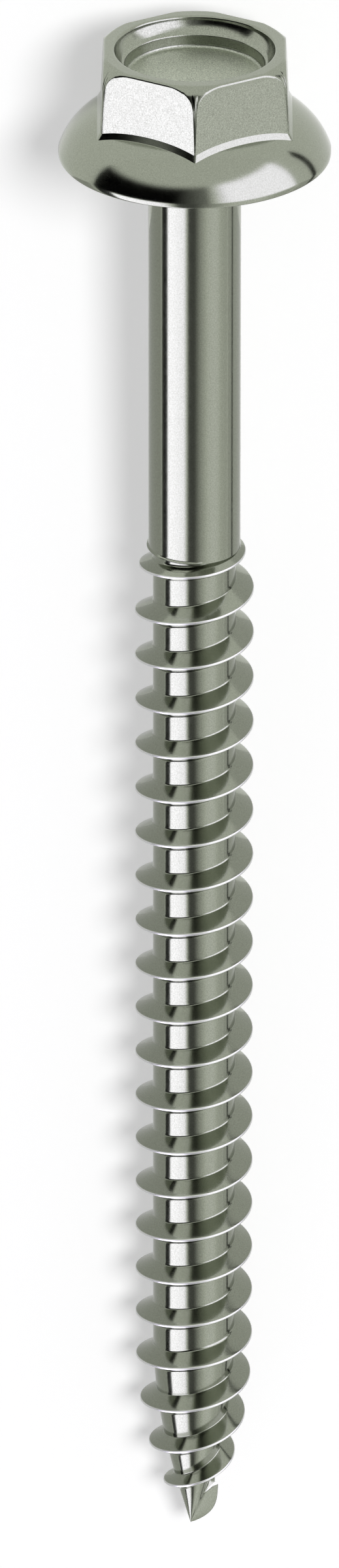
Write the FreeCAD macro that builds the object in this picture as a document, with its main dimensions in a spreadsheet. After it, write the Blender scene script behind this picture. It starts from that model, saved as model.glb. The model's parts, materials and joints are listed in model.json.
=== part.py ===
"""Self-tapping screw with a hexagon head on a crowned flange, as the single piece of steel that it is.

The screw is built upright: the seat under the flange is at height zero, the head is above it and the
tip below. One corner of the hexagon points along +X. The placement then lays the screw on its side, as
it comes to rest: the flange rim and a thread crest near the tip touch the ground, the marked corner
looks up, and the origin is on the ground under the middle of the lying screw.
"""
import FreeCAD, Part
import math
import os

import Sketcher

NAME = "screw"

# Driving dimensions in millimetres and degrees.
SIZES = {
    # Head, with depths counted from its top
    "head_height": 5.9,
    "top_flats": 9.4,
    "flat_draft": 2.7,
    "shoulder_top_diameter": 9.5,
    "shoulder_upper_diameter": 10.34,
    "shoulder_upper_depth": 0.4,
    "shoulder_lower_diameter": 10.78,
    "shoulder_lower_depth": 1.1,
    "shoulder_depth": 2.6,
    "recess_diameter": 8.26,
    "recess_lip": 0.12,
    "ledge_diameter": 7.5,
    "ledge_depth": 0.78,
    "floor_diameter": 7.2,
    "floor_depth": 1.5,
    # Flange, with heights counted from the seat
    "flange_diameter": 14.1,
    "rim_thickness": 0.28,
    "rim_break": 0.1,
    "crown_height": 2.65,
    "crown_diameter": 8.8,
    "crown_bow": 3.7,
    "hexagon_foot": 1.2,
    # Shank, with lengths counted from the seat
    "neck_bevel": 0.35,
    "shank_diameter": 4.82,
    "shank_length": 22.36,
    "collar_diameter": 5.0,
    "collar_rise": 0.15,
    "collar_drop": 0.24,
    "core_diameter": 4.36,
    "screw_length": 80.7,
    # Thread
    "thread_diameter": 6.24,
    "flank_angle": 30,
    "root_overlap": 0.1,
    "pitch": 2.6,
    "run_in_gap": 0.03,
    "run_in_diameter": 4.94,
    # Point
    "point_pitch": 2.42,
    "point_nose": 0.77,
    "blade_length": 1.99,
    "blade_setback": 0.12,
    "blade_bow": 1.6,
    "blade_half": 0.22,
    # How far cutting outlines run past the metal
    "clearance": 1,
}

# Turns of the thread as it rises out of the collar and round the point, where each half turn is a sweep
# of its own. Between them, as many whole turns of full height fit as leave the run-in its least rise.
RUN_IN_TURNS = 1.5
LEAST_RUN_IN_PITCHES = 0.9
POINT_TURNS = 4

# The crown of the flange and the core's point are curved, and each is made of this many cones.
CROWN_CONES = 4
POINT_CONES = 4


class Size:
    """A number that carries the sheet's formula for it, so a sketch starts near its solved shape."""

    def __init__(self, value, formula):
        self.value = value
        self.formula = formula

    def __add__(self, other):
        return Size(self.value + as_size(other).value, f"({self.formula} + {as_size(other).formula})")

    def __sub__(self, other):
        return Size(self.value - as_size(other).value, f"({self.formula} - {as_size(other).formula})")

    def __mul__(self, other):
        return Size(self.value * as_size(other).value, f"({self.formula} * {as_size(other).formula})")

    def __truediv__(self, other):
        return Size(self.value / as_size(other).value, f"({self.formula} / {as_size(other).formula})")

    def __neg__(self):
        return Size(-self.value, f"(0 - {self.formula})")


def as_size(number):
    """The Size itself, or a Size for a plain number."""
    return number if isinstance(number, Size) else Size(float(number), f"{float(number)!r}")


def cell(alias):
    """The driving dimension with that alias."""
    return Size(float(SIZES[alias]), f"sizes.{alias}")


def square_root(size):
    """The square root of a Size."""
    return Size(math.sqrt(size.value), f"sqrt({size.formula})")


def sine(angle):
    """The sine of an angle in degrees."""
    return Size(math.sin(math.radians(angle.value)), f"sin({angle.formula} * 1 deg)")


def cosine(angle):
    """The cosine of an angle in degrees."""
    return Size(math.cos(math.radians(angle.value)), f"cos({angle.formula} * 1 deg)")


def tangent(angle):
    """The tangent of an angle in degrees."""
    return Size(math.tan(math.radians(angle.value)), f"tan({angle.formula} * 1 deg)")


def ogive_length():
    """How far above the tip the core starts to taper, level with the end of the full thread."""
    return cell("point_pitch") * POINT_TURNS + cell("blade_length")


def core_radius(along):
    """The core's radius at a distance past the start of its ogive, an arc that runs out of the core."""
    core = cell("core_diameter") / 2
    ogive = ogive_length()
    bow = (ogive * ogive + core * core) / core / 2
    return core - bow + square_root(bow * bow - along * along)


def bowed(start, end, bow, pieces):
    """Places along an arc of that radius, which bulges to the left of the way from start to end."""
    across = end[0] - start[0]
    up = end[1] - start[1]
    chord = square_root(across * across + up * up)
    inset = square_root(bow * bow - chord * chord / 4)
    places = []
    for piece in range(pieces + 1):
        share = piece / pieces
        from_middle = chord * (0.5 - share)
        bulge = square_root(bow * bow - from_middle * from_middle) - inset
        aside = up / chord * bulge
        above = across / chord * bulge
        places.append((start[0] + across * share - aside, start[1] + up * share + above))
    return places


def run_in_top():
    """The height where the thread's crest leaves the collar."""
    return -(cell("shank_length") + cell("run_in_gap"))


def full_turns():
    """How many whole turns of full height fit between the run-in and the point."""
    threaded = run_in_top() - full_end()
    return math.floor(threaded.value / cell("pitch").value - LEAST_RUN_IN_PITCHES)


def full_end():
    """The height of the crest where the full thread ends, on the +Y side."""
    return ogive_length() - cell("screw_length")


def full_start():
    """The height of the crest where the full thread starts, on the +Y side."""
    return full_end() + cell("pitch") * full_turns()


def run_in_crest(turn):
    """The crest's radius and height on the run-in, so many turns before the full thread's start."""
    merged = cell("run_in_diameter") / 2
    share = 1 - turn / RUN_IN_TURNS
    radius = merged + (cell("thread_diameter") / 2 - merged) * share
    return radius, full_start() + (run_in_top() - full_start()) * (1 - share * share)


def point_crest(turn):
    """The crest's radius and height round the point, so many turns past the full thread's end."""
    along = cell("point_pitch") * turn
    share = along / (cell("point_pitch") * POINT_TURNS + cell("point_nose"))
    radius = cell("thread_diameter") / 2 * square_root(as_size(1) - share * share)
    return radius, full_end() - along


def fill_sheet(document):
    """Put the driving dimensions on the document's sheet, one row each."""
    sheet = document.addObject("Spreadsheet::Sheet", "sizes")
    for row, (alias, value) in enumerate(SIZES.items(), start=1):
        sheet.set(f"A{row}", alias.replace("_", " "))
        sheet.set(f"B{row}", str(value))
        sheet.setAlias(f"B{row}", alias)
    document.recompute()


def origin_item(body, role):
    """The body's own origin plane or axis with that role."""
    return next(item for item in body.Origin.OriginFeatures if item.Role == role)


def side_between(start, end, bow):
    """A straight side, or an arc that bulges to the left of the way from start to end for a positive bow."""
    if bow is None:
        return Part.LineSegment(start, end)
    chord = end - start
    left = FreeCAD.Vector(-chord.y, chord.x, 0).normalize()
    inset = math.copysign(math.sqrt(bow * bow - chord.Length ** 2 / 4), bow)
    centre = (start + end) * 0.5 - left * inset
    first, last = (end - centre, start - centre) if bow > 0 else (start - centre, end - centre)
    first_angle = math.atan2(first.y, first.x)
    last_angle = math.atan2(last.y, last.x)
    if last_angle < first_angle:
        last_angle += 2 * math.pi
    circle = Part.Circle(centre, FreeCAD.Vector(0, 0, 1), abs(bow))
    return Part.ArcOfCircle(circle, first_angle, last_angle)


def end_at(sketch, side, place):
    """The number of the side's end that lies at the place: 1 for its start and 2 for its end."""
    curve = sketch.Geometry[side]
    return 1 if (curve.StartPoint - place).Length < (curve.EndPoint - place).Length else 2


def constrain(sketch, kind, side, end, size):
    """Add one dimension to the sketch and bind it to the sheet."""
    if end is None:
        number = sketch.addConstraint(Sketcher.Constraint(kind, side, size.value))
    else:
        number = sketch.addConstraint(Sketcher.Constraint(kind, side, end, size.value))
    name = f"{kind.lower()}_{number}"
    sketch.renameConstraint(number, name)
    sketch.setExpression(f"Constraints.{name}", size.formula)


def outline(body, name, plane, corners, bows=None, lift=None, shift=None):
    """A closed sketch through the corners, bound to the sheet.

    corners are (across, up) pairs. bows gives the radius of each side that is an arc, by the number of
    the corner that the side leaves. lift moves the sketch out of its plane, and shift moves it up within
    the plane.
    """
    bows = bows or {}
    sketch = body.newObject("Sketcher::SketchObject", name)
    sketch.AttachmentSupport = [(origin_item(body, plane), "")]
    sketch.MapMode = "FlatFace"
    if lift is not None:
        sketch.setExpression("AttachmentOffset.Base.z", lift.formula)
    if shift is not None:
        sketch.setExpression("AttachmentOffset.Base.y", shift.formula)
    corners = [(as_size(across), as_size(up)) for across, up in corners]
    places = [FreeCAD.Vector(across.value, up.value, 0) for across, up in corners]
    for side, start in enumerate(places):
        bow = bows[side].value if side in bows else None
        sketch.addGeometry(side_between(start, places[(side + 1) % len(places)], bow), False)
    for side, (across, up) in enumerate(corners):
        before = (side - 1) % len(corners)
        end = end_at(sketch, side, places[side])
        before_end = end_at(sketch, before, places[side])
        sketch.addConstraint(Sketcher.Constraint("Coincident", before, before_end, side, end))
        constrain(sketch, "DistanceX", side, end, across)
        constrain(sketch, "DistanceY", side, end, up)
    for side, bow in bows.items():
        constrain(sketch, "Radius", side, None, bow if bow.value > 0 else -bow)
    body.Document.recompute()
    return sketch


def turned(body, kind, name, sketch):
    """A full turn of the sketch about the screw's axis, added or cut."""
    feature = body.newObject(f"PartDesign::{kind}", name)
    feature.Profile = sketch
    feature.ReferenceAxis = (origin_item(body, "Z_Axis"), [""])
    feature.Angle = 360


def hexagon_corner(height):
    """The radius of the hexagon's corners at a height, where the flats lean in towards the top."""
    flats = cell("top_flats") + (cell("head_height") - height) * tangent(cell("flat_draft")) * 2
    return flats / cosine(as_size(30)) / 2


def add_hexagon(body):
    """The hexagonal block, drafted as it leaves the forging die, from inside the flange to the top."""
    foot = cell("hexagon_foot")
    corner = hexagon_corner(foot)
    turns = [as_size(60 * number) for number in range(6)]
    corners = [(corner * cosine(turn), corner * sine(turn)) for turn in turns]
    block = body.newObject("PartDesign::Pad", "hexagon")
    block.Profile = outline(body, "hexagon_outline", "XY_Plane", corners, lift=foot)
    block.setExpression("Length", (cell("head_height") - foot).formula)
    block.setExpression("TaperAngle", (-cell("flat_draft")).formula)


def cut_shoulder(body):
    """The round shoulder that takes off the hexagon's upper corners and leaves an arc on each flat."""
    top = cell("head_height")
    rim = cell("shoulder_top_diameter") / 2
    bottom = top - cell("shoulder_depth")
    reach = hexagon_corner(bottom)
    outside = reach + cell("clearance")
    above = top + cell("clearance")
    corners = [
        (rim, top),
        (cell("shoulder_upper_diameter") / 2, top - cell("shoulder_upper_depth")),
        (cell("shoulder_lower_diameter") / 2, top - cell("shoulder_lower_depth")),
        (reach, bottom),
        (outside, bottom),
        (outside, above),
        (rim, above),
    ]
    turned(body, "Groove", "shoulder", outline(body, "shoulder_outline", "XZ_Plane", corners))


def add_blank(body):
    """The flange with its crowned top, the shank, the rolled collar and the core with its ogive point."""
    flange = cell("flange_diameter") / 2
    shank = cell("shank_diameter") / 2
    core = cell("core_diameter") / 2
    bevel = cell("neck_bevel")
    collar = cell("shank_length")
    length = cell("screw_length")
    ogive = ogive_length()
    crown_top = (cell("crown_diameter") / 2, cell("crown_height"))
    corners = [
        (0, cell("crown_height")),
        *bowed(crown_top, (flange, cell("rim_thickness")), cell("crown_bow"), CROWN_CONES),
        (flange, cell("rim_break")),
        (flange - cell("rim_break"), 0),
        (shank + bevel, 0),
        (shank, -bevel),
        (shank, cell("collar_rise") - collar),
        (cell("collar_diameter") / 2, -collar),
        (core, -(collar + cell("collar_drop"))),
    ]
    for cone in range(POINT_CONES):
        along = ogive * cone / POINT_CONES
        corners.append((core_radius(along), ogive - length - along))
    corners.append((0, -length))
    # Drawn on the -Y side, so that the seam of the round faces runs down the middle of a flat.
    mirrored = [(-as_size(across), up) for across, up in corners]
    sketch = outline(body, "blank_outline", "YZ_Plane", mirrored)
    turned(body, "Revolution", "blank", sketch)


def cut_recess(body):
    """The round recess in the top: a flared mouth, a narrow ledge and a flat floor."""
    top = cell("head_height")
    mouth = cell("recess_diameter") / 2
    lip = cell("recess_lip")
    ledge = top - cell("ledge_depth")
    floor = top - cell("floor_depth")
    above = top + cell("clearance")
    corners = [
        (0, floor),
        (cell("floor_diameter") / 2, floor),
        (cell("floor_diameter") / 2, ledge),
        (cell("ledge_diameter") / 2, ledge),
        (mouth, top - lip),
        (mouth + lip, top),
        (mouth + lip, above),
        (0, above),
    ]
    turned(body, "Groove", "recess", outline(body, "recess_outline", "XZ_Plane", corners))


def add_ridge(body, name, side, start, end, turns):
    """A stage of the thread, swept down and clockwise from the YZ plane.

    side is 1 where the stage starts on the +Y side and -1 on the other. start and end give the crest's
    radius, the core's radius and the height there.
    """
    rises = [crest - core for crest, core, _ in (start, end)]
    depth = max(rises, key=lambda rise: rise.value) + cell("root_overlap")
    half = depth * tangent(cell("flank_angle"))
    crest, _, height = start
    foot = crest - depth
    corners = [(crest * side, 0), (foot * side, -half * side), (foot * side, half * side)]
    section = outline(body, f"{name}_section", "YZ_Plane", corners, shift=height)
    ridge = body.newObject("PartDesign::AdditiveHelix", name)
    ridge.Profile = section
    ridge.ReferenceAxis = (section, ["V_Axis"])
    ridge.Mode = "height-turns-growth"
    ridge.Reversed = True
    ridge.Turns = turns
    ridge.setExpression("Height", (height - end[2]).formula)
    ridge.setExpression("Growth", ((end[0] - crest) / turns).formula)


def add_tapered_turns(body, name, places):
    """Half turns of the thread through places half a turn apart, the last on the +Y side or one before."""
    for number, (start, end) in enumerate(zip(places, places[1:]), start=1):
        side = 1 if (len(places) - number) % 2 == 0 else -1
        add_ridge(body, f"{name}_{number}", side, start, end, 0.5)


def add_thread(body):
    """The rolled thread: it rises out of the collar, runs at full height and shrinks round the point."""
    core = cell("core_diameter") / 2
    full = cell("thread_diameter") / 2
    add_ridge(body, "full_thread", 1, (full, core, full_start()), (full, core, full_end()), full_turns())
    run_in = []
    for half_turn in range(round(RUN_IN_TURNS * 2), -1, -1):
        crest, height = run_in_crest(half_turn / 2)
        run_in.append((crest, core, height))
    add_tapered_turns(body, "run_in", run_in)
    point = []
    for half_turn in range(POINT_TURNS * 2 + 1):
        crest, height = point_crest(half_turn / 2)
        point.append((crest, core_radius(cell("point_pitch") * half_turn / 2), height))
    add_tapered_turns(body, "point", point)


def add_blade(body):
    """The last of the thread, which turns down the axis as a sharp blade and ends at the tip."""
    crest, height = point_crest(POINT_TURNS)
    corners = [
        (crest, height),
        (0, height + crest * tangent(cell("flank_angle"))),
        (0, cell("blade_setback") - cell("screw_length")),
    ]
    blade = body.newObject("PartDesign::Pad", "blade")
    blade.Profile = outline(body, "blade_outline", "YZ_Plane", corners, {2: -cell("blade_bow")})
    blade.SideType = "Symmetric"
    blade.setExpression("Length", (cell("blade_half") * 2).formula)
    blade.setExpression("TaperAngle", (cell("flank_angle") - 90).formula)


def check(document):
    """Stop if any object failed to compute or a body is empty or faulty."""
    for item in document.Objects:
        if "Invalid" in item.State or "Error" in item.State:
            raise RuntimeError(f"{item.Label} did not compute: {item.getStatusString()}")
        if item.TypeId == "PartDesign::Body" and (item.Shape.isNull() or not item.Shape.isValid()):
            raise RuntimeError(f"{item.Label} has no sound shape")


def resting_lean():
    """How far the axis leans, in degrees, when the flange's rim and a thread crest touch the ground.

    The crest passes the side that faces the ground three quarters of the way down each turn.
    """
    rim = cell("flange_diameter").value / 2
    rim_height = cell("rim_break").value
    crests = [(cell("thread_diameter").value / 2, full_end().value + cell("pitch").value / 4)]
    for turn in range(POINT_TURNS):
        before, after = point_crest(turn + 0.5), point_crest(turn + 1)
        crests.append([(one.value + other.value) / 2 for one, other in zip(before, after)])
    return min(math.degrees(math.atan2(rim - radius, rim_height - height)) for radius, height in crests)


def lay_down(body):
    """Place the screw as it rests on its side, its head towards +X and the marked corner up."""
    lean = math.radians(resting_lean())
    towards_corner = FreeCAD.Vector(-math.sin(lean), 0, math.cos(lean))
    towards_head = FreeCAD.Vector(math.cos(lean), 0, math.sin(lean))
    across = towards_head.cross(towards_corner)
    turn = FreeCAD.Rotation(towards_corner, across, towards_head, "ZXY")
    body.Placement = FreeCAD.Placement(FreeCAD.Vector(), turn)
    box = body.Shape.optimalBoundingBox()
    body.Placement.Base = FreeCAD.Vector(-box.Center.x, -box.Center.y, -box.ZMin)


def main():
    """Build the screw, lay it down and write its file."""
    document = FreeCAD.newDocument("self_tapping_screw")
    fill_sheet(document)
    body = document.addObject("PartDesign::Body", NAME)
    body.Label = NAME
    add_hexagon(body)
    cut_shoulder(body)
    add_blank(body)
    cut_recess(body)
    add_thread(body)
    add_blade(body)
    document.recompute()
    lay_down(body)
    document.recompute()
    check(document)
    os.makedirs("parts", exist_ok=True)
    body.Shape.exportStep(f"parts/{NAME}.step")


main()
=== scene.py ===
"""Dresses a self-tapping hexagon-head screw that lies on a pale floor.

The screw is worked out in its own frame, in millimetres: z runs up the axis from the seat under the
flange towards the head, x points at the hexagon corner that faces up, and y is to the right of it.
Angles round the axis are counted from x towards y. Each finished mesh is then laid down in metres,
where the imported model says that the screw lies.
"""
import json
import logging
import math
from collections.abc import Callable
from dataclasses import dataclass, field
from enum import Enum

import bmesh
import bpy
from mathutils import Matrix, Vector


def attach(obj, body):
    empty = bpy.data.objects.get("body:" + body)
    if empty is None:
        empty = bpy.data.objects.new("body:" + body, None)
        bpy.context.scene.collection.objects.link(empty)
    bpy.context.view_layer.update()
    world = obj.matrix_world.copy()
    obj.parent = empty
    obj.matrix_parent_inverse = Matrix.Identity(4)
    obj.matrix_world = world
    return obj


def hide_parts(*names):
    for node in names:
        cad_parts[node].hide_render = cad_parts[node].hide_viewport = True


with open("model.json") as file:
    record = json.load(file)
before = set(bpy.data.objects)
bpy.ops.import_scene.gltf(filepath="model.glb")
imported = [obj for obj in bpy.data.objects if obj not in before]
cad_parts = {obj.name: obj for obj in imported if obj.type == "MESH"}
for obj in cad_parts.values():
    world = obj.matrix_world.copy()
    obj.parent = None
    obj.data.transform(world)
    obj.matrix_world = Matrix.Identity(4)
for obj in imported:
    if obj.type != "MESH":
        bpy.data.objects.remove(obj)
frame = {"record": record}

log = logging.getLogger("screw")

NODE = "screw"
BODY = "root"
MM = 0.001
HALVINGS = 40
GRAIN_SPAN = (0.25, 0.75)
FINE_DETAIL = 2.0
COARSE_DETAIL = 4.0
ZERO_TO_ONE = (0.0, 1.0)

Pair = tuple[float, float]
Colour = tuple[float, float, float]


def axis_matrix() -> Matrix:
    """The move from the screw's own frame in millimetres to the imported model's frame in metres.

    Returns:
        The matrix, worked out from the mount in the middle of the head's top.
    """
    drive = next(mount for mount in frame["record"]["mounts"] if mount["name"] == "drive")
    towards_head = Vector(drive["axis"]).normalized()
    across = Vector((0.0, -1.0, 0.0))
    towards_corner = across.cross(towards_head)
    seat = Vector(drive["pos_m"]) - towards_head * Head().height * MM
    turn = Matrix((towards_corner, across, towards_head)).transposed().to_4x4()
    return Matrix.Translation(seat) @ turn @ Matrix.Scale(MM, 4)


def smooth_least(one: float, other: float, blend: float) -> float:
    """The lesser of two numbers, rounded off over the blend where they are nearly equal."""
    return (one + other - math.sqrt((one - other) ** 2 + blend * blend)) / 2


def between(start: float, end: float, steps: int) -> list[float]:
    """Evenly spaced numbers from start to end, both among them."""
    return [start + (end - start) * step / steps for step in range(steps + 1)]


def quarter(rows: int) -> list[float]:
    """The angles of the rows on a quarter of a round edge, in radians."""
    return between(0.0, math.pi / 2, rows)


def fade(value: float, start: float, end: float) -> float:
    """A smooth rise from 0 at start to 1 at end."""
    share = min(max((value - start) / (end - start), 0.0), 1.0)
    return share * share * (3 - 2 * share)


def halved(low: float, high: float, beyond: Callable[[float], bool]) -> float:
    """The height at which a test starts to hold, found by halving.

    Args:
        low: A height where it doesn't hold.
        high: A height where it does.
        beyond: The test of a height.

    Returns:
        The height.
    """
    for _ in range(HALVINGS):
        middle = (low + high) / 2
        if beyond(middle):
            high = middle
        else:
            low = middle
    return low


@dataclass(frozen=True)
class Point:
    """A place on the turned outline, with how matte the metal is there."""

    radius: float
    height: float
    matte: float = 0.0


@dataclass
class Head:
    """The hexagon, its recess and the crowned flange, in millimetres and degrees."""

    height: float = 5.9
    top_flats: float = 9.4
    flat_draft: float = 2.7
    corner_round: float = 0.12
    top_round: float = 0.15
    shoulder_reach: float = 5.41
    shoulder_fall: float = 0.61
    shoulder_round: float = 0.39
    shoulder_draft: float = 0.05
    shoulder_edge: float = 0.02
    recess_radius: float = 4.13
    recess_lip: float = 0.12
    wall_start: float = 0.06
    wall_curve: float = 1.6
    wall_matte: float = 0.15
    ledge_radius: float = 3.75
    ledge_depth: float = 0.78
    ledge_round: float = 0.12
    ledge_matte: float = 0.3
    floor_radius: float = 3.6
    floor_shares: Pair = (0.15, 0.9)
    floor_depth: float = 1.5
    floor_round: float = 0.2
    floor_matte: float = 1.0
    floor_matte_loss: float = 0.4
    flange_radius: float = 7.05
    rim_top: float = 0.28
    rim_break: float = 0.1
    crown_radius: float = 4.4
    crown_height: float = 2.65
    crown_bow: float = 3.7
    crown_rows: int = 18
    flat_matte: float = 0.3
    matte_edge: Pair = (-0.02, 0.05)
    foot_rise: float = 0.22
    foot_spread: float = 0.18
    foot_margins: Pair = (0.03, 0.01)
    land_shares: tuple[float, ...] = (0.15, 0.5, 0.85)
    top_rows_reach: float = 1.2
    top_rows_gap: float = 0.02
    least_shoulder: float = 0.12
    edge_steps: tuple[float, ...] = (0.07, 0.04, 0.02, 0.008, 0.0, -0.008, -0.02, -0.04, -0.07, -0.15)
    facet_shares: tuple[float, ...] = (0.0, 0.05, 0.12, 0.3, 0.7, 0.88, 0.95, 1.0)
    crown_steps: Pair = (0.012, 0.035)

    def flat(self, height: float, corner_angle: float) -> float:
        """The radius of the hexagon's side.

        Args:
            height: The height above the seat.
            corner_angle: The angle from the nearest corner, in radians.

        Returns:
            The radius there, with the corner rounded.
        """
        across = self.top_flats / 2 + (self.height - height) * math.tan(math.radians(self.flat_draft))
        into_round = max(height - self.height + self.top_round, 0.0)
        across -= self.top_round - math.sqrt(max(self.top_round ** 2 - into_round ** 2, 0.0))
        straight = across / math.cos(math.pi / 6 - corner_angle)
        centre = (across - self.corner_round) / math.cos(math.pi / 6)
        aside = centre * math.sin(corner_angle)
        if aside > self.corner_round / 2:
            return straight
        return centre * math.cos(corner_angle) + math.sqrt(self.corner_round ** 2 - aside * aside)

    def shoulder(self, height: float) -> float:
        """The radius of the round shoulder that cuts the hexagon's upper corners.

        Args:
            height: The height above the seat.

        Returns:
            The radius there.
        """
        down = self.height - height
        fall = self.shoulder_fall * math.exp(-down / self.shoulder_round)
        return self.shoulder_reach + self.shoulder_draft * down - fall

    def side_radius(self, height: float, corner_angle: float) -> float:
        """The radius of the head's side: the flat, or the shoulder where that lies further in."""
        return smooth_least(self.flat(height, corner_angle), self.shoulder(height), self.shoulder_edge)

    def crown_centre(self) -> Pair:
        """The centre of the arc that the flange's top is turned to.

        Returns:
            The centre's radius and height.
        """
        start = Vector((self.crown_radius, self.crown_height))
        end = Vector((self.flange_radius, self.rim_top))
        chord = end - start
        inset = math.sqrt(self.crown_bow ** 2 - chord.length_squared / 4)
        inward = Vector((chord.y, -chord.x)).normalized()
        centre = (start + end) / 2 + inward * inset
        return centre.x, centre.y

    def crown(self, radius: float) -> float:
        """The height of the flange's top at a radius."""
        centre_radius, centre_height = self.crown_centre()
        return centre_height + math.sqrt(self.crown_bow ** 2 - (radius - centre_radius) ** 2)

    def crossing(self, corner_angle: float) -> float:
        """The height where the shoulder runs into the flat, at an angle from the nearest corner."""
        return halved(self.crown_height, self.height,
                      lambda height: self.flat(height, corner_angle) > self.shoulder(height))

    def foot(self, corner_angle: float) -> float:
        """The height where the flat runs into the flange's top, at an angle from the nearest corner."""
        return halved(self.rim_top, self.crown_height,
                      lambda height: self.crown(self.flat(height, corner_angle)) <= height)

    def recess(self) -> list[Point]:
        """The recess from the middle of its floor out to the flat land round its mouth.

        Returns:
            The outline: floor, ledge, curved wall and rounded lip.
        """
        top = self.height
        floor = top - self.floor_depth
        ledge = top - self.ledge_depth
        shares = between(*self.floor_shares, 6)
        outline = [Point(self.floor_radius * share, floor, self.floor_matte) for share in shares]
        for turn in quarter(6):
            outline.append(Point(self.floor_radius - self.floor_round * (1 - math.sin(turn)),
                                 floor + self.floor_round * (1 - math.cos(turn)),
                                 self.floor_matte - self.floor_matte_loss * turn))
        for turn in quarter(5):
            outline.append(Point(self.floor_radius + self.ledge_round * (1 - math.cos(turn)),
                                 ledge - self.ledge_round * (1 - math.sin(turn)), self.ledge_matte))
        for share in between(self.wall_start, 1.0, 9):
            swell = 1 - (1 - share) ** self.wall_curve
            outline.append(Point(self.ledge_radius + (self.recess_radius - self.ledge_radius) * swell,
                                 ledge + (self.ledge_depth - self.recess_lip) * share, self.wall_matte))
        for turn in quarter(4)[1:]:
            radius = self.recess_radius + self.recess_lip * (1 - math.cos(turn))
            outline.append(Point(radius, top - self.recess_lip * (1 - math.sin(turn))))
        return outline

    def side(self, corner_angle: float) -> list[Point]:
        """The head's side from its top edge down to the flange's top.

        Args:
            corner_angle: The angle from the nearest corner, in radians.

        Returns:
            The outline there: land, top edge, shoulder, flat and the narrow facet at the foot.
        """
        edge = self.side_radius(self.height, corner_angle)
        mouth = self.recess_radius + self.recess_lip
        outline = [Point(mouth + (edge - mouth) * share, self.height) for share in self.land_shares]
        reach = self.top_round * self.top_rows_reach
        heights = [self.height - reach * share * share for share in between(0.0, 1.0, 9)]
        cross = min(self.crossing(corner_angle), heights[-1] - self.least_shoulder)
        facet = self.foot(corner_angle) + self.foot_rise
        heights += between(heights[-1] - self.top_rows_gap, cross + self.edge_steps[0], 8)[:-1]
        heights += [cross + step for step in self.edge_steps]
        heights += between(heights[-1], facet + self.foot_margins[0], 7)[1:]
        heights += [facet + self.foot_margins[1]]
        for height in heights:
            outline.append(Point(self.side_radius(height, corner_angle), height,
                                 self.flat_matte * fade(cross - height, *self.matte_edge)))
        above = Point(self.side_radius(facet, corner_angle), facet)
        beside = self.facet_end(corner_angle)
        below = Point(beside, self.crown(beside))
        for share in self.facet_shares:
            outline.append(Point(above.radius + (below.radius - above.radius) * share,
                                 above.height + (below.height - above.height) * share))
        outline += [Point(beside + step, self.crown(beside + step)) for step in self.crown_steps]
        return outline

    def facet_end(self, corner_angle: float) -> float:
        """The radius where the narrow facet at the hexagon's foot meets the flange's top."""
        return self.flat(self.foot(corner_angle), corner_angle) + self.foot_spread

    def flange(self, corner_angle: float) -> list[Point]:
        """The flange from just outside the hexagon over its crown and rim to the seat's edge.

        Args:
            corner_angle: The angle from the nearest corner, in radians.

        Returns:
            The outline there.
        """
        start = self.facet_end(corner_angle) + self.crown_steps[-1]
        centre_radius, centre_height = self.crown_centre()
        first = math.acos((start - centre_radius) / self.crown_bow)
        last = math.acos((self.flange_radius - centre_radius) / self.crown_bow)
        outline = []
        for turn in between(first, last, self.crown_rows)[1:]:
            outline.append(Point(centre_radius + self.crown_bow * math.cos(turn),
                                 centre_height + self.crown_bow * math.sin(turn)))
        for turn in quarter(4):
            outline.append(Point(self.flange_radius - self.rim_break * (1 - math.cos(turn)),
                                 self.rim_break * (1 - math.sin(turn))))
        return outline


@dataclass
class Shank:
    """The plain shank under the flange, with the ring that the rolling dies raise at its end."""

    radius: float = 2.41
    neck: float = 0.35
    length: float = 22.34
    ring_rise: float = 0.09
    ring_half: float = 0.05
    ring_reach: Pair = (-3.0, 1.0)
    ring_fade: Pair = (-12.0, 16.0)
    ring_return: Pair = (110.0, 170.0)
    plain_ends: Pair = (1.5, 0.5)
    seat_radii: tuple[float, ...] = (6.4, 5.2, 4.0, 3.1)
    seat_matte: float = 0.4
    end_radius: float = 2.14
    end_sag: float = 0.06
    end_inset: float = 0.5
    end_drop: float = 0.26

    def ring(self, angle: float) -> float:
        """How far the ring stands out at an angle in degrees: it dies away where the thread begins."""
        angle = (angle + 180.0) % 360.0 - 180.0
        return self.ring_rise * (1 - fade(angle, *self.ring_fade) + fade(angle, *self.ring_return))

    def outline(self, angle: float) -> list[Point]:
        """The seat, the fillet under it, the shank and the ring, down to its hidden end.

        Args:
            angle: The angle round the axis in degrees.

        Returns:
            The outline there.
        """
        outline = [Point(radius, 0.0, self.seat_matte) for radius in self.seat_radii]
        for turn in quarter(6):
            outline.append(Point(self.radius + self.neck * (1 - math.sin(turn)),
                                 -self.neck * (1 - math.cos(turn))))
        start, end = -self.plain_ends[0], -self.length + self.plain_ends[1]
        outline += [Point(self.radius, height) for height in between(start, end, 9)]
        rise = self.ring(angle)
        for step in between(*self.ring_reach, 14):
            outline.append(Point(self.radius + rise * math.exp(-step * step),
                                 -self.length - self.ring_half * step))
        last = outline[-1]
        for turn in quarter(5)[1:]:
            radius = self.end_radius + (last.radius - self.end_radius) * math.cos(turn)
            outline.append(Point(radius, last.height - self.end_sag * math.sin(turn)))
        outline.append(Point(self.end_radius - self.end_inset, -self.length - self.end_drop))
        return outline


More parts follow.
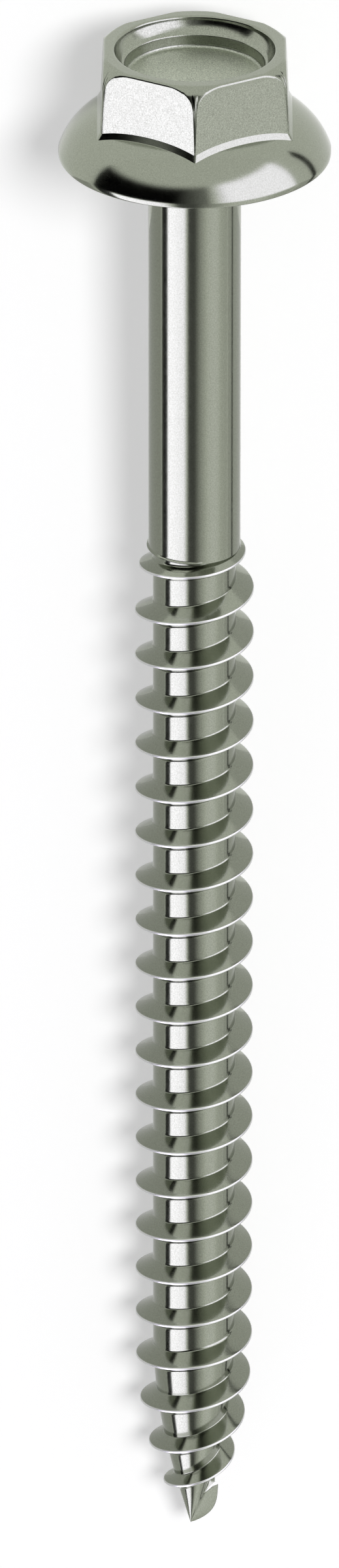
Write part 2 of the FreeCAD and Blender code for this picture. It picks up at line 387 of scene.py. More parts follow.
@dataclass
class Blank:
    """The head and the shank as one closed turned and forged surface."""

    head: Head = field(default_factory=Head)
    shank: Shank = field(default_factory=Shank)
    columns_each_side: int = 16
    crowding: float = 1.6

    def angles(self) -> list[float]:
        """The angles of the columns, crowded towards the six corners.

        Returns:
            The angles in degrees.
        """
        angles = []
        for corner in range(6):
            for step in range(-self.columns_each_side, self.columns_each_side):
                share = abs(step) / self.columns_each_side
                angles.append(60.0 * corner + math.copysign(30.0 * share ** self.crowding, step))
        return angles

    def column(self, angle: float) -> list[Point]:
        """The whole outline from the recess's floor to the shank's end.

        Args:
            angle: The angle round the axis in degrees.

        Returns:
            The outline there.
        """
        corner_angle = math.radians(abs((angle + 30.0) % 60.0 - 30.0))
        return [
            *self.head.recess(),
            *self.head.side(corner_angle),
            *self.head.flange(corner_angle),
            *self.shank.outline(angle),
        ]

    def build(self, finish: bpy.types.Material) -> bpy.types.Object:
        """The head and shank as an object.

        Args:
            finish: The material of the metal.

        Returns:
            The object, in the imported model's frame.
        """
        work = bmesh.new()
        matte = work.verts.layers.float.new("matte")
        rings = []
        for angle in self.angles():
            turn = math.radians(angle)
            ring = []
            for point in self.column(angle):
                x, y = point.radius * math.cos(turn), point.radius * math.sin(turn)
                vertex = work.verts.new((x, y, point.height))
                vertex[matte] = point.matte
                ring.append(vertex)
            rings.append(ring)
        bottom = work.verts.new((0.0, 0.0, self.head.height - self.head.floor_depth))
        bottom[matte] = self.head.floor_matte
        end = work.verts.new((0.0, 0.0, -self.shank.length - self.shank.end_drop))
        for number, ring in enumerate(rings):
            following = rings[(number + 1) % len(rings)]
            work.faces.new((bottom, ring[0], following[0]))
            work.faces.new((end, following[-1], ring[-1]))
            for row in range(len(ring) - 1):
                work.faces.new((ring[row], ring[row + 1], following[row + 1], following[row]))
        return finished(work, "head_and_shank", finish)


def placed(name: str, data: bpy.types.ID) -> bpy.types.Object:
    """Put a new object into the scene.

    Args:
        name: The object's name.
        data: Its mesh, lamp or camera.

    Returns:
        The object.
    """
    item = bpy.data.objects.new(name, data)
    bpy.context.scene.collection.objects.link(item)
    return item


def finished(work: bmesh.types.BMesh, name: str, finish: bpy.types.Material) -> bpy.types.Object:
    """Turn a mesh in the screw's own frame into a finished object.

    Args:
        work: The mesh, which is freed.
        name: The object's name.
        finish: The material of the metal.

    Returns:
        The object, smooth, with its faces outward and its place in its mesh.
    """
    bmesh.ops.recalc_face_normals(work, faces=work.faces)
    mesh = bpy.data.meshes.new(name)
    work.to_mesh(mesh)
    work.free()
    mesh.transform(axis_matrix())
    mesh.polygons.foreach_set("use_smooth", [True] * len(mesh.polygons))
    mesh.materials.clear()
    mesh.materials.append(finish)
    return placed(name, mesh)


@dataclass(frozen=True)
class Amount:
    """A number that varies over a mesh: a socket of the node tree that works it out."""

    tree: bpy.types.NodeTree
    socket: bpy.types.NodeSocket

    def worked(self, operation: str, *others: "Amount | float") -> "Amount":
        """Work this amount out further with a math node.

        Args:
            operation: What the node does.
            others: The node's other inputs, in order.

        Returns:
            The result.
        """
        node = self.tree.nodes.new("ShaderNodeMath")
        node.operation = operation
        for place, value in enumerate((self, *others)):
            if isinstance(value, Amount):
                self.tree.links.new(value.socket, node.inputs[place])
            else:
                node.inputs[place].default_value = value
        return Amount(self.tree, node.outputs[0])

    def __add__(self, other: "Amount | float") -> "Amount":
        """The sum."""
        return self.worked("ADD", other)

    def __sub__(self, other: "Amount | float") -> "Amount":
        """The difference."""
        return self.worked("SUBTRACT", other)

    def __mul__(self, other: "Amount | float") -> "Amount":
        """The product."""
        return self.worked("MULTIPLY", other)

    def __truediv__(self, other: "Amount | float") -> "Amount":
        """The quotient."""
        return self.worked("DIVIDE", other)

    def __pow__(self, other: "Amount | float") -> "Amount":
        """This amount raised to a power."""
        return self.worked("POWER", other)

    def __neg__(self) -> "Amount":
        """This amount with the other sign."""
        return self.worked("MULTIPLY", -1.0)

    def least(self, other: "Amount | float") -> "Amount":
        """The lesser of the two."""
        return self.worked("MINIMUM", other)

    def most(self, other: "Amount | float") -> "Amount":
        """The greater of the two."""
        return self.worked("MAXIMUM", other)

    def within(self, low: float, high: float) -> "Amount":
        """This amount kept between two bounds."""
        return self.most(low).least(high)

    def root(self) -> "Amount":
        """The square root."""
        return self.worked("SQRT")

    def smooth_most(self, other: "Amount | float", blend: "Amount | float") -> "Amount":
        """The greater of the two, rounded off where they are nearly equal.

        Args:
            other: The other amount.
            blend: How far apart the two may be to be rounded off.

        Returns:
            The rounded greater amount.
        """
        gap = self - other
        spread = blend * blend
        return (self + other + (gap * gap + spread).root()) * 0.5


def map_range(
    tree: bpy.types.NodeTree, given: Pair, result: Pair, smooth: bool = False
) -> bpy.types.Node:
    """A node that maps one span of values to another.

    Args:
        tree: The node tree that it goes into.
        given: The span that comes in.
        result: The span that goes out.
        smooth: Whether it eases in and out at the ends.

    Returns:
        The node.
    """
    node = tree.nodes.new("ShaderNodeMapRange")
    node.interpolation_type = "SMOOTHSTEP" if smooth else "LINEAR"
    for name, value in zip(("From Min", "From Max", "To Min", "To Max"), (*given, *result)):
        node.inputs[name].default_value = value
    return node


@dataclass
class Thread:
    """The rolled thread with its core, its run-in out of the ring and its point with the blade.

    The surface is a sheet whose rows follow the helix. Along the sheet, a place is given by the turns
    that the crest has made since it left the ring, and across it by the share of a turn clockwise from
    the -y side.
    """

    crest_radius: float = 3.117
    core_radius: float = 2.18
    pitch: float = 2.6
    flank_angle: float = 30.0
    crest_land: float = 0.032
    crest_round: float = 0.038
    root_round: float = 0.012
    run_in_turns: float = 1.5
    run_in_rise: float = 2.44
    run_in_radius: float = 2.47
    run_in_fall: float = 6.0
    full_turns: float = 17.0
    full_end: float = -69.03
    point_turns: float = 4.0
    point_pitch: float = 2.42
    point_nose: float = 0.77
    point_fall: float = 2.2
    sway_side: float = 0.12
    point_sway: float = 0.62
    sway_turns: Pair = (0.2, 2.2)
    point_pinch: float = 0.28
    pinch_turns: Pair = (1.0, 2.5)
    point_lift: float = 0.48
    lift_power: float = 4.0
    tip: float = -80.7
    tip_lean: float = 0.17
    lean_power: float = 6.0
    blade_top: float = -78.42
    blade_length: float = 2.28
    blade_radius: float = 1.345
    blade_curve: float = 3.7
    blade_belly: float = 0.85
    blade_run_out: float = 6.0
    blade_half_angle: float = 21.0
    blade_thinning: float = 0.06
    blade_place: float = 0.5
    blade_reach: float = 0.16
    blade_fall: float = 4.0
    blade_blend: float = 0.22
    blade_least: float = 0.1
    blend_power: float = 4.0
    wear_highlight_depth: float = 0.07
    wear_highlight_rise: float = 10.0
    hidden_start: float = -9.0
    hidden_turns: float = -2.0
    tip_margin: float = 0.0001
    merge_distance: float = 0.0008
    columns: int = 90
    edge_columns: tuple[float, ...] = (0.4965, 0.4985, 0.5015, 0.5035)
    crest_rows: tuple[float, ...] = (
        0.0, 0.008, 0.0145, 0.018, 0.022, 0.028, 0.038, 0.06, 0.09, 0.12, 0.15,
    )
    foot_rows: tuple[float, ...] = (0.175, 0.192, 0.202, 0.207, 0.212, 0.217, 0.226, 0.25, 0.3, 0.38)
    point_rows: tuple[float, ...] = (
        0.175, 0.19, 0.2, 0.21, 0.22, 0.23, 0.24, 0.25, 0.26, 0.27, 0.28, 0.29, 0.3, 0.32, 0.36, 0.42,
    )

    def turn_rows(self, turn: int) -> list[float]:
        """The rows of one turn, crowded at the crest and at the foot of each flank.

        Args:
            turn: The turn's number, counted from where the crest leaves the ring.

        Returns:
            The rows as shares of the turn.
        """
        on_point = turn >= self.run_in_turns + self.full_turns
        half = [*self.crest_rows, *(self.point_rows if on_point else self.foot_rows)]
        return [*half, 0.5, *(1 - share for share in reversed(half[1:]))]

    def sheet(self) -> bpy.types.Object:
        """The flat sheet that the rule below rolls up.

        Returns:
            The sheet, on which x counts turns and y is the share of a turn.
        """
        point_turns = math.ceil((self.full_end - self.tip) / self.point_pitch)
        last = math.ceil(self.run_in_turns + self.full_turns + point_turns)
        rows = [turn + share for turn in range(-1, last) for share in self.turn_rows(turn)]
        rows.append(float(last))
        work = bmesh.new()
        lines = []
        for share in sorted([*between(0.0, 1.0, self.columns), *self.edge_columns]):
            line = [work.verts.new((self.hidden_start, share, 0.0))]
            line += [work.verts.new((row + share, share, 0.0)) for row in rows]
            lines.append(line)
        for line, following in zip(lines, lines[1:]):
            for row in range(len(line) - 1):
                work.faces.new((line[row], line[row + 1], following[row + 1], following[row]))
        mesh = bpy.data.meshes.new("thread_sheet")
        work.to_mesh(mesh)
        work.free()
        return placed("thread_sheet", mesh)

    def crest(self, turn: Amount, across: Amount, size: dict[str, Amount]) -> tuple[Amount, Amount]:
        """The crest's radius and height after so many turns.

        Args:
            turn: The turns since the crest left the ring.
            across: The share of a turn clockwise from the -y side.
            size: The tree's named sizes.

        Returns:
            The radius and the height.
        """
        run = turn.within(0.0, self.run_in_turns) / self.run_in_turns
        full = (turn - self.run_in_turns).within(0.0, self.full_turns)
        past = (turn - (self.run_in_turns + self.full_turns)).most(0.0)
        start = size["Pitch"] * self.full_turns + self.full_end
        height = start + size["Run-in rise"] * (-(run * run) + 1.0)
        height = height - size["Pitch"] * full - size["Point pitch"] * past
        near_side = (((across + self.sway_side) * math.tau).worked("COSINE") + 1.0) * 0.5
        last_turn = (past - (self.point_turns - 1.0)).within(0.0, 1.0)
        height = height - near_side * self.growth(past, self.sway_turns) * self.point_sway
        height = height + last_turn ** self.lift_power * self.point_lift
        along = size["Point pitch"] * past
        whole = size["Point pitch"] * self.point_turns + self.point_nose
        share = (along / whole).least(1.0)
        radius = size["Run-in radius"] + (size["Crest radius"] - size["Run-in radius"]) * run
        radius = radius * (-(share * share) + 1.0).root()
        radius = radius - near_side * self.growth(past, self.pinch_turns) * self.point_pinch
        before = (-turn).most(0.0)
        beyond = (past - self.point_turns).most(0.0)
        return radius - before * self.run_in_fall - beyond * self.point_fall, height

    @staticmethod
    def growth(past: Amount, turns: Pair) -> Amount:
        """How far a change has grown, 0 to 1, given the turn where it starts and how long it takes."""
        return ((past - turns[0]) / turns[1]).within(0.0, 1.0)

    def ridge(
        self, turn: Amount, across: Amount, height: Amount, size: dict[str, Amount]
    ) -> tuple[Amount, Amount]:
        """The ridge whose crest is at that turn, at a height: two flanks and a narrow land.

        Args:
            turn: The turns since the crest left the ring.
            across: The share of a turn clockwise from the -y side.
            height: The height above the seat.
            size: The tree's named sizes.

        Returns:
            The ridge's radius, and how far that lies inside its crest.
        """
        radius, crest_height = self.crest(turn, across, size)
        beside = ((height - crest_height).worked("ABSOLUTE") - size["Crest land"]).most(0.0)
        drop = beside / size["Flank slope"]
        rounding = size["Crest rounding"]
        fall = (drop * drop + rounding * rounding).root() - rounding
        return radius - fall, fall

    def down_point(self, height: Amount) -> Amount:
        """How far down the point a height lies, from 0 at its start to 1 at the tip."""
        return ((-height + self.full_end) / (self.full_end - self.tip)).within(0.0, 1.0)

    def core(self, height: Amount, size: dict[str, Amount]) -> Amount:
        """The core's radius at a height: straight, then a pointed arch down to the tip."""
        share = self.down_point(height)
        return size["Core radius"] * (-(share * share) + 1.0)

    def blade(self, height: Amount, across: Amount, core: Amount) -> Amount:
        """The radius of the blade that the thread ends in, a wedge on one side of the point.

        Args:
            height: The height above the seat.
            across: The share of a turn clockwise from the -y side.
            core: The core's radius at the height, past which the wedge gets no thicker.

        Returns:
            The blade's radius there.
        """
        share = ((-height + self.blade_top) / self.blade_length).within(0.0, 1.0)
        above = (height - self.blade_top).most(0.0)
        edge = (-(share ** self.blade_curve) + 1.0) ** self.blade_belly * self.blade_radius
        edge = edge - above ** 2.0 * self.blade_run_out
        aside = (across - self.blade_place) * math.tau
        steepest = math.tan(math.radians(self.blade_half_angle))
        slope = -((-(core / edge.most(self.blade_least))).smooth_most(-steepest, self.blade_thinning))
        width = aside.worked("SINE").worked("ABSOLUTE") + aside.worked("COSINE") * slope
        outside = (aside.worked("ABSOLUTE") - self.blade_reach * math.tau).most(0.0)
        return edge * slope / width.most(self.blade_least) - outside * self.blade_fall

    def sizes(self) -> dict[str, float]:
        """The thread's sizes.

        Returns:
            Each size by the name of the node tree's input for it.
        """
        return {
            "Crest radius": self.crest_radius,
            "Core radius": self.core_radius,
            "Pitch": self.pitch,
            "Flank slope": math.tan(math.radians(self.flank_angle)),
            "Crest land": self.crest_land,
            "Crest rounding": self.crest_round,
            "Root rounding": self.root_round,
            "Run-in rise": self.run_in_rise,
            "Run-in radius": self.run_in_radius,
            "Point pitch": self.point_pitch,
        }

    def rule(self) -> bpy.types.NodeTree:
        """The node tree that rolls the sheet up into the threaded length and the point.

        Returns:
            The tree, with the thread's sizes as named inputs.
        """
        tree = bpy.data.node_groups.new("roll_thread", "GeometryNodeTree")
        tree.interface.new_socket("Sheet", in_out="INPUT", socket_type="NodeSocketGeometry")
        for name in self.sizes():
            tree.interface.new_socket(name, in_out="INPUT", socket_type="NodeSocketFloat")
        tree.interface.new_socket("Finish", in_out="INPUT", socket_type="NodeSocketMaterial")
        tree.interface.new_socket("Thread", in_out="OUTPUT", socket_type="NodeSocketGeometry")
        given = tree.nodes.new("NodeGroupInput")
        result = tree.nodes.new("NodeGroupOutput")
        size = {name: Amount(tree, given.outputs[name]) for name in self.sizes()}

        position = tree.nodes.new("GeometryNodeInputPosition")
        parts = tree.nodes.new("ShaderNodeSeparateXYZ")
        tree.links.new(position.outputs[0], parts.inputs[0])
        turn = Amount(tree, parts.outputs["X"])
        across = Amount(tree, parts.outputs["Y"])
        passed = (turn - across).worked("FLOOR") + across

        height = self.crest(turn, across, size)[1].most(self.tip)
        core = self.core(height, size)
        upper, upper_fall = self.ridge(passed, across, height, size)
        lower, lower_fall = self.ridge(passed + 1.0, across, height, size)
        ridge = upper.most(lower)
        rounding = size["Root rounding"]
        radius = core.smooth_most(ridge, rounding)
        past = self.down_point(height)
        blend = (-(past ** self.blend_power) + 1.0) * self.blade_blend
        radius = radius.smooth_most(self.blade(height, across, core), blend)
        above_tip = (height - self.tip).worked("GREATER_THAN", self.tip_margin)
        radius = radius * above_tip * turn.worked("GREATER_THAN", self.hidden_turns)
        angle = (across + 0.25) * -math.tau
        aside = radius * angle.worked("SINE") - past ** self.lean_power * self.tip_lean
        # The worn crests: a mask, 1 on the crest, by which the material turns the metal near white
        # there. It is partly wear and partly a painted highlight along each crest.
        crest_share = (-(upper_fall.least(lower_fall) / self.wear_highlight_depth) + 1.0).within(0.0, 1.0)
        wear_and_highlight = crest_share * ((ridge - core) * self.wear_highlight_rise).within(0.0, 1.0)

        place = tree.nodes.new("ShaderNodeCombineXYZ")
        for socket, amount in zip(place.inputs, (radius * angle.worked("COSINE"), aside, height)):
            tree.links.new(amount.socket, socket)
        store = tree.nodes.new("GeometryNodeStoreNamedAttribute")
        store.inputs["Name"].default_value = "wear_and_highlight"
        move = tree.nodes.new("GeometryNodeSetPosition")
        merge = tree.nodes.new("GeometryNodeMergeByDistance")
        merge.inputs["Distance"].default_value = self.merge_distance
        realize = tree.nodes.new("GeometryNodeRealizeInstances")
        finish = tree.nodes.new("GeometryNodeSetMaterial")
        tree.links.new(wear_and_highlight.socket, store.inputs["Value"])
        tree.links.new(place.outputs[0], move.inputs["Position"])
        tree.links.new(given.outputs["Finish"], finish.inputs["Material"])
        steps = [given, store, move, merge, realize, finish, result]
        for step, following in zip(steps, steps[1:]):
            tree.links.new(step.outputs[0], following.inputs[0])
        return tree

    def build(self, finish: bpy.types.Material) -> bpy.types.Object:
        """The threaded length and the point as an object.

        Args:
            finish: The material of the metal.

        Returns:
            The object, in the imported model's frame.
        """
        sheet = self.sheet()
        tree = self.rule()
        values = {**self.sizes(), "Finish": finish}
        modifier = sheet.modifiers.new("roll", "NODES")
        modifier.node_group = tree
        for item in tree.interface.items_tree:
            if item.in_out == "INPUT" and item.name in values:
                modifier[item.identifier] = values[item.name]
        evaluated = sheet.evaluated_get(bpy.context.evaluated_depsgraph_get())
        mesh = bpy.data.meshes.new_from_object(evaluated)
        sheet.modifiers.clear()
        bpy.data.objects.remove(sheet)
        work = bmesh.new()
        work.from_mesh(mesh)
        bpy.data.meshes.remove(mesh)
        return finished(work, "thread_and_point", finish)


class Sight(Enum):
    """The kinds of ray that the studio tells apart, by their output on the Light Path node."""

    CAMERA = "Is Camera Ray"
    GLOSSY = "Is Glossy Ray"
    TRANSMISSION = "Is Transmission Ray"
    DIFFUSE = "Is Diffuse Ray"


@dataclass(frozen=True)
class Steel:
    """Bright coated steel with a faint green cast, finely grained, matte where the dies left it so.

    The crests are worn near white, which is also a painted highlight along them. The matte parts are
    paler, which is also painted light on the recess floor.
    """

    name: str = "coated_steel"
    dark: Colour = (0.184, 0.198, 0.153)
    light: Colour = (0.416, 0.447, 0.36)
    # Near white for the crests: wear, and a painted highlight along them.
    worn_highlight_colour: Colour = (0.82, 0.83, 0.81)
    worn_roughness: float = 0.32
    wear_highlight_start: float = 0.3
    wear_highlight_gain: float = 2.0
    wear_highlight_most: float = 0.95
    roughness: float = 0.1
    matte_roughness: float = 0.4
    patch_roughness: float = 0.07
    # A paler tone where matte: partly the finish, partly painted light on the recess floor.
    matte_pale_and_painted_light: float = 0.7
    smooth_grit: float = 0.35
    matte_grit: float = 1.7
    grain_scale: float = 15.0
    coarse_scale: float = 2.3
    bump_strength: float = 0.25
    bump_depth: float = 0.01

    def material(self) -> bpy.types.Material:
        """The finish as a material.

        Returns:
            The material, which reads Object coordinates and the pieces' attributes for the matte finish
            and for the worn crests. The crests are turned near white, partly wear and partly a painted
            highlight, and the matte parts paler, partly painted light.
        """
        material = bpy.data.materials.new(self.name)
        material.use_nodes = True
        tree = material.node_tree
        nodes, links = tree.nodes, tree.links
        shader = nodes["Principled BSDF"]
        shader.inputs["Metallic"].default_value = 1.0

        place = nodes.new("ShaderNodeTexCoord")
        scale = nodes.new("ShaderNodeMapping")
        scale.inputs["Scale"].default_value = (1 / MM, 1 / MM, 1 / MM)
        links.new(place.outputs["Object"], scale.inputs["Vector"])
        matte = nodes.new("ShaderNodeAttribute")
        matte.attribute_name = "matte"
        wear_and_highlight = nodes.new("ShaderNodeAttribute")
        wear_and_highlight.attribute_name = "wear_and_highlight"

        grain = nodes.new("ShaderNodeGroup")
        grain.node_tree = metal_grain()
        grain.inputs["Fine scale"].default_value = self.grain_scale
        grain.inputs["Coarse scale"].default_value = self.coarse_scale
        links.new(scale.outputs["Vector"], grain.inputs["Place"])

        tone = nodes.new("ShaderNodeMix")
        tone.data_type = "RGBA"
        tone.clamp_factor = False
        tone.inputs["A"].default_value = (*self.dark, 1.0)
        tone.inputs["B"].default_value = (*self.light, 1.0)
        grit = map_range(tree, ZERO_TO_ONE, (self.smooth_grit, self.matte_grit))
        links.new(matte.outputs["Fac"], grit.inputs["Value"])
        strength = Amount(tree, grit.outputs["Result"])
        speckle_and_light_lift = (Amount(tree, grain.outputs["Grain"]) - 0.5) * strength + 0.5
        # The matte parts are made paler, most of all the recess floor: partly the matte finish, partly
        # painted light against the shade of the recess.
        speckle_and_light_lift = speckle_and_light_lift + Amount(tree, matte.outputs["Fac"]) ** 2.0 * self.matte_pale_and_painted_light
        links.new(speckle_and_light_lift.socket, tone.inputs["Factor"])
        # The crests go towards near white: partly wear, partly a painted highlight along each crest.
        rubbed_and_highlit = nodes.new("ShaderNodeMix")
        rubbed_and_highlit.data_type = "RGBA"
        rubbed_and_highlit.inputs["B"].default_value = (*self.worn_highlight_colour, 1.0)
        links.new(tone.outputs["Result"], rubbed_and_highlit.inputs["A"])
        wear_highlight_mask = Amount(tree, wear_and_highlight.outputs["Fac"])
        rubbing_and_highlight = ((wear_highlight_mask - self.wear_highlight_start) * self.wear_highlight_gain).within(0.0, self.wear_highlight_most)
        links.new(rubbing_and_highlight.socket, rubbed_and_highlit.inputs["Factor"])
        links.new(rubbed_and_highlit.outputs["Result"], shader.inputs["Base Color"])

        rough = map_range(tree, ZERO_TO_ONE, (self.roughness, self.matte_roughness))
        links.new(matte.outputs["Fac"], rough.inputs["Value"])
        even = Amount(tree, rough.outputs["Result"])
        patches = Amount(tree, grain.outputs["Patches"]) * self.patch_roughness
        uneven = even + patches + (-even + self.worn_roughness) * rubbing_and_highlight
        links.new(uneven.socket, shader.inputs["Roughness"])

        bump = nodes.new("ShaderNodeBump")
        bump.inputs["Strength"].default_value = self.bump_strength
        bump.inputs["Distance"].default_value = self.bump_depth * MM
        relief = Amount(tree, grain.outputs["Grain"]) * strength * strength
        links.new(relief.socket, bump.inputs["Height"])
        links.new(bump.outputs["Normal"], shader.inputs["Normal"])
        return material


def metal_grain() -> bpy.types.NodeTree:
    """A group that gives the metal's fine grain and its larger uneven patches.

    Returns:
        The group, with the outputs Grain and Patches, both about 0 to 1.
    """
    tree = bpy.data.node_groups.new("metal_grain", "ShaderNodeTree")
    tree.interface.new_socket("Place", in_out="INPUT", socket_type="NodeSocketVector")
    for name in ("Fine scale", "Coarse scale"):
        tree.interface.new_socket(name, in_out="INPUT", socket_type="NodeSocketFloat")
    for name in ("Grain", "Patches"):
        tree.interface.new_socket(name, in_out="OUTPUT", socket_type="NodeSocketFloat")
    given = tree.nodes.new("NodeGroupInput")
    result = tree.nodes.new("NodeGroupOutput")
    fine = tree.nodes.new("ShaderNodeTexNoise")
    coarse = tree.nodes.new("ShaderNodeTexNoise")
    for noise, scale, detail in (
        (fine, "Fine scale", FINE_DETAIL),
        (coarse, "Coarse scale", COARSE_DETAIL),
    ):
        noise.inputs["Detail"].default_value = detail
        tree.links.new(given.outputs["Place"], noise.inputs["Vector"])
        tree.links.new(given.outputs[scale], noise.inputs["Scale"])
    stretch = map_range(tree, GRAIN_SPAN, ZERO_TO_ONE)
    tree.links.new(fine.outputs["Fac"], stretch.inputs["Value"])
    tree.links.new(stretch.outputs["Result"], result.inputs["Grain"])
    tree.links.new(coarse.outputs["Fac"], result.inputs["Patches"])
    return tree


@dataclass(frozen=True)
class Card:
    """A card on the floor beside the screw, seen only in the metal. Its sizes are in millimetres.

    Each end gives the place along the floor, and the near and far edge across it there.
    """

    name: str
    ends: tuple[tuple[float, Pair], tuple[float, Pair]]
    light: float
    lift: float

    def build(self) -> None:
        """Lay the card down."""
        mesh = bpy.data.meshes.new(self.name)
        corners = [Vector((along, across, self.lift)) for along, edges in self.ends for across in edges]
        mesh.from_pydata([corner * MM for corner in corners], [], [(0, 1, 3, 2)])
        card = placed(self.name, mesh)
        material = bpy.data.materials.new(self.name)
        material.use_nodes = True
        nodes = material.node_tree.nodes
        nodes.clear()
        output = nodes.new("ShaderNodeOutputMaterial")
        glow = nodes.new("ShaderNodeEmission")
        glow.inputs["Strength"].default_value = self.light
        material.node_tree.links.new(glow.outputs[0], output.inputs["Surface"])
        mesh.materials.append(material)
        card.visible_camera = False
        card.visible_diffuse = False
        card.visible_shadow = False


@dataclass(frozen=True)
class Studio:
    """The floor, the camera, the lamp and the long panels that the metal reflects."""

    floor_reach: float = 900.0
    floor_sink: float = 0.01
    floor_colour: float = 0.8
    floor_glow: float = 0.38
    sun_strength: float = 1.65
    sun_lean: float = 17.0
    sun_tilt: float = 18.0
    sun_spread: float = 18.0
    sky_for_floor: float = 0.28
    cards: tuple[Card, ...] = (
        Card("left_card", ((30.0, (5.5, 150.0)), (-120.0, (-1.5, 150.0))), light=0.6, lift=0.04),
        Card("right_card", ((30.0, (-150.0, -5.5)), (-120.0, (-150.0, 1.5))), light=0.72, lift=0.06),
        Card("black_strip", ((60.0, (-38.0, -29.5)), (-60.0, (-10.4, -7.1))), light=0.0, lift=0.08),
    )
    camera_distance: float = 0.8482
    camera_lens: float = 370.0
    camera_sensor: float = 36.0
    camera_lift: float = 26.36
    target_across: float = -1.3013
    target_height: float = -36.354
    low_bands: tuple[Pair, ...] = (
        (-180.0, 0.65), (-92.0, 0.65), (-86.5, 0.02), (-72.0, 0.02), (-70.0, 2.97), (-50.0, 2.78),
        (-27.0, 2.49), (-14.5, 0.12), (0.0, 0.13), (6.0, 0.3), (14.0, 0.6), (22.0, 0.8), (34.0, 1.1),
        (50.0, 1.17), (60.0, 1.12), (70.0, 0.92), (90.0, 0.8), (180.0, 0.65),
    )
    high_bands: tuple[Pair, ...] = (
        (-180.0, 0.8), (-125.0, 0.7), (-115.0, 0.0), (-16.0, 0.0), (10.0, 0.3), (22.0, 1.7),
        (30.0, 2.4), (88.0, 2.4), (96.0, 0.8), (180.0, 0.8),
    )
    band_split: Pair = (-10.0, 0.0)
    top_split: Pair = (36.0, 46.0)
    top_skew: float = 7.0
    top_light: float = 0.98
    panel_tint: Colour = (1.075, 1.0, 1.25)

    def build(self) -> None:
        """Set up the floor with its cards, the sky, the lamp and the camera."""
        self.floor()
        for card in self.cards:
            card.build()
        self.sky()
        self.lamp()
        self.camera()

    def floor(self) -> None:
        """The pale floor, which keeps the screw's shadow."""
        mesh = bpy.data.meshes.new("floor")
        reach, sink = self.floor_reach * MM, self.floor_sink * MM
        corners = [(x * reach, y * reach, -sink) for x, y in ((-1, -1), (1, -1), (1, 1), (-1, 1))]
        mesh.from_pydata(corners, [], [(0, 1, 2, 3)])
        floor = placed("floor", mesh)
        material = bpy.data.materials.new("pale_floor")
        material.use_nodes = True
        tree = material.node_tree
        nodes, links = tree.nodes, tree.links
        nodes.clear()
        output = nodes.new("ShaderNodeOutputMaterial")
        diffuse = nodes.new("ShaderNodeBsdfDiffuse")
        diffuse.inputs["Color"].default_value = (self.floor_colour,) * 3 + (1.0,)
        glow = nodes.new("ShaderNodeEmission")
        both = nodes.new("ShaderNodeAddShader")
        path = nodes.new("ShaderNodeLightPath")
        seen = Amount(tree, path.outputs[Sight.CAMERA.value])
        for sight in (Sight.GLOSSY, Sight.TRANSMISSION):
            seen = seen.most(Amount(tree, path.outputs[sight.value]))
        links.new((seen * self.floor_glow).socket, glow.inputs["Strength"])
        links.new(diffuse.outputs[0], both.inputs[0])
        links.new(glow.outputs[0], both.inputs[1])
        links.new(both.outputs[0], output.inputs["Surface"])
        mesh.materials.append(material)

    def sky(self) -> None:
        """White for the camera, and for the metal long panels that run along the screw."""
        world = bpy.data.worlds.new("studio")
        bpy.context.scene.world = world
        world.use_nodes = True
        tree = world.node_tree
        nodes, links = tree.nodes, tree.links
        nodes.clear()
        output = nodes.new("ShaderNodeOutputWorld")
        place = nodes.new("ShaderNodeTexCoord")
        turn = axis_matrix().to_3x3().normalized()

        def along(axis: Vector) -> Amount:
            """How far the ray's direction goes along an axis.

            Args:
                axis: The axis, of length 1.

            Returns:
                The cosine of the angle between them.
            """
            dot = nodes.new("ShaderNodeVectorMath")
            dot.operation = "DOT_PRODUCT"
            dot.inputs[1].default_value = axis
            links.new(place.outputs["Generated"], dot.inputs[0])
            return Amount(tree, dot.outputs["Value"])

        up, right, ahead = (along(axis) for axis in turn.col)
        azimuth = right.worked("ARCTAN2", up) / math.tau + 0.5
        rise = ahead.worked("ARCSINE") * math.degrees(1.0)
        low = self.bands(tree, azimuth, self.low_bands)
        high = self.bands(tree, azimuth, self.high_bands)
        share = map_range(tree, self.band_split, ZERO_TO_ONE, smooth=True)
        links.new(rise.socket, share.inputs["Value"])
        mixed = low + (high - low) * Amount(tree, share.outputs["Result"])
        above = map_range(tree, self.top_split, ZERO_TO_ONE, smooth=True)
        links.new((rise - right * self.top_skew).socket, above.inputs["Value"])
        mixed = mixed + (-mixed + self.top_light) * Amount(tree, above.outputs["Result"])

        path = nodes.new("ShaderNodeLightPath")
        camera = Amount(tree, path.outputs[Sight.CAMERA.value])
        diffuse = Amount(tree, path.outputs[Sight.DIFFUSE.value])
        strength = mixed + (-mixed + 1.0) * camera
        strength = strength + (-strength + self.sky_for_floor) * diffuse
        background = nodes.new("ShaderNodeBackground")
        tint = nodes.new("ShaderNodeMix")
        tint.data_type = "RGBA"
        tint.inputs["A"].default_value = (1.0, 1.0, 1.0, 1.0)
        tint.inputs["B"].default_value = (*self.panel_tint, 1.0)
        links.new((strength - 1.0).within(0.0, 1.0).socket, tint.inputs["Factor"])
        links.new(tint.outputs["Result"], background.inputs["Color"])
        links.new(strength.socket, background.inputs["Strength"])
        links.new(background.outputs[0], output.inputs["Surface"])

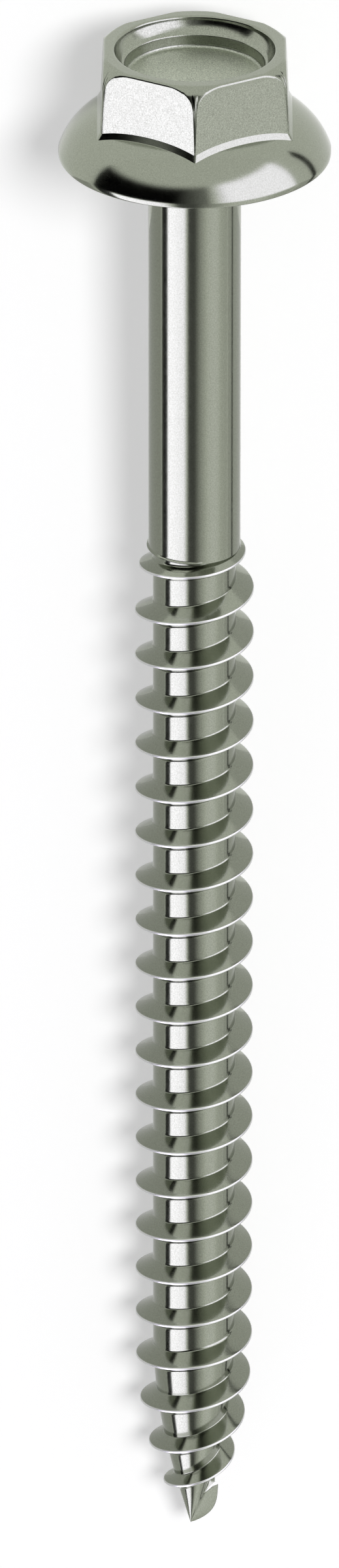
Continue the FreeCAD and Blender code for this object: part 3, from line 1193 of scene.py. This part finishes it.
    @staticmethod
    def bands(tree: bpy.types.NodeTree, azimuth: Amount, stops: tuple[Pair, ...]) -> Amount:
        """The light of the panels at an azimuth.

        Args:
            tree: The world's node tree.
            azimuth: The azimuth as a share of a turn, 0.5 straight up.
            stops: The panels' edges in degrees, with the light at each.

        Returns:
            The light, which runs straight from stop to stop.
        """
        brightest = max(light for _, light in stops)
        ramp = tree.nodes.new("ShaderNodeValToRGB")
        elements = ramp.color_ramp.elements
        while len(elements) > 1:
            elements.remove(elements[-1])
        for number, (degrees, light) in enumerate(stops):
            place = degrees / 360.0 + 0.5
            element = elements[0] if number == 0 else elements.new(place)
            element.position = place
            element.color = (light / brightest,) * 3 + (1.0,)
        tree.links.new(azimuth.socket, ramp.inputs["Fac"])
        split = tree.nodes.new("ShaderNodeSeparateColor")
        tree.links.new(ramp.outputs["Color"], split.inputs[0])
        return Amount(tree, split.outputs[0]) * brightest

    def lamp(self) -> None:
        """The broad lamp, above and right of the head, so that the soft shadow falls to the left."""
        light = bpy.data.lights.new("key", "SUN")
        light.energy = self.sun_strength
        light.angle = math.radians(self.sun_spread)
        lamp = placed("key", light)
        lamp.rotation_euler = (math.radians(self.sun_lean), math.radians(self.sun_tilt), 0.0)
        lamp.visible_glossy = False

    def camera(self) -> None:
        """The camera, which looks down on the screw from in front of its head."""
        place = axis_matrix()
        target = place @ Vector((0.0, self.target_across, self.target_height))
        lift = math.radians(self.camera_lift)
        turn = place.to_3x3().normalized()
        backward = turn @ Vector((math.cos(lift), 0.0, math.sin(lift)))
        right = turn @ Vector((0.0, 1.0, 0.0))
        upward = backward.cross(right)
        data = bpy.data.cameras.new("camera")
        data.lens = self.camera_lens
        data.sensor_width = self.camera_sensor
        camera = placed("camera", data)
        camera.matrix_world = (
            Matrix.Translation(target + backward * self.camera_distance)
            @ Matrix((right, upward, backward)).transposed().to_4x4()
        )
        bpy.context.scene.camera = camera
        bpy.context.scene.view_settings.view_transform = "Standard"


def main() -> None:
    """Build the screw and its studio."""
    logging.basicConfig(level=logging.INFO, format="%(name)s: %(message)s")
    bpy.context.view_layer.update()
    finish = Steel().material()
    for piece in (Blank().build(finish), Thread().build(finish)):
        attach(piece, BODY)
        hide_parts(NODE)
        log.info("%s: %d faces", piece.name, len(piece.data.polygons))
    Studio().build()


if __name__ == "__main__":
    main()
